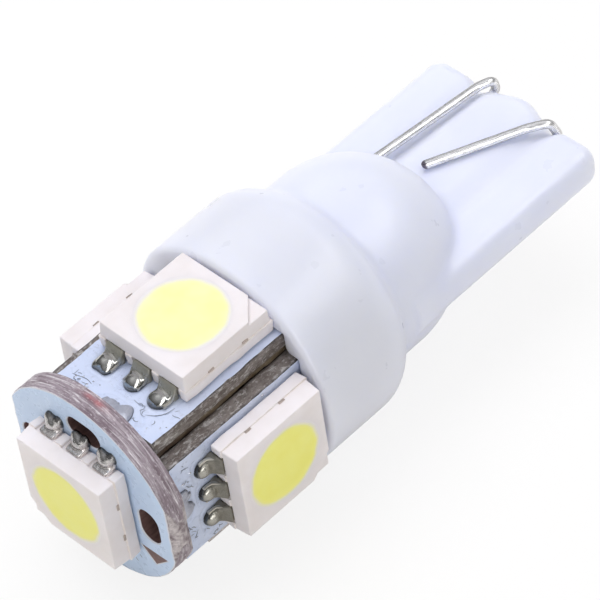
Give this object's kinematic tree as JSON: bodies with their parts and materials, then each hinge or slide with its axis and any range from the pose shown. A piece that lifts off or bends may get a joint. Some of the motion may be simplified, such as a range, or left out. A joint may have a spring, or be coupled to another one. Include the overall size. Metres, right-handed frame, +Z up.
{
  "type": "wedge base led bulb",
  "caption": "Small lamp with a white moulded wedge base, domed neck and round collar; boxed-in side boards and a round front board each carry a square light-emitting package.",
  "frame": {"origin": "centre of the bounding box's bottom face: below the middle of the bulb's length, on the surface that the bulb lies on", "axes": "+X along the bulb's axis towards the light end, the wedge blade towards -X; +Y across the blade's width; +Z up, out of the blade's upper broad face"},
  "size_m": [0.0282, 0.0112, 0.0113],
  "materials": {
    "base_plastic": "moulded white plastic, slightly cool, faintly translucent, soft sheen",
    "board": "glass-fibre circuit board, pale blue-white solder mask on the faces, brown-grey cut edges",
    "led_body": "white moulded package body, matt",
    "led_lens": "pale yellow phosphor-filled silicone, satin",
    "tinned_lead": "tinned copper strip",
    "solder": "bright tin solder with dull flux-stained patches",
    "tinned_wire": "drawn tinned wire, bright",
    "resistor_body": "lacquered resistor body, pale blue"
  },
  "bodies": {
    "root": {"wedge_base": "base_plastic", "front_board": "board", "top_board": "board", "right_board": "board", "bottom_board": "board", "left_board": "board", "front_led_housing": "led_body", "front_led_lens": "led_lens", "front_led_leads": "tinned_lead", "front_led_solder": "solder", "top_led_housing": "led_body", "top_led_lens": "led_lens", "top_led_leads": "tinned_lead", "top_led_solder": "solder", "right_led_housing": "led_body", "right_led_lens": "led_lens", "right_led_leads": "tinned_lead", "right_led_solder": "solder", "bottom_led_housing": "led_body", "bottom_led_lens": "led_lens", "bottom_led_leads": "tinned_lead", "bottom_led_solder": "solder", "left_led_housing": "led_body", "left_led_lens": "led_lens", "left_led_leads": "tinned_lead", "left_led_solder": "solder", "board_joints": "solder", "left_contact_wire": "tinned_wire", "right_contact_wire": "tinned_wire", "resistor_lead": "tinned_wire", "series_resistor": "resistor_body", "wire_solder": "solder"}
  },
  "joints": []
}
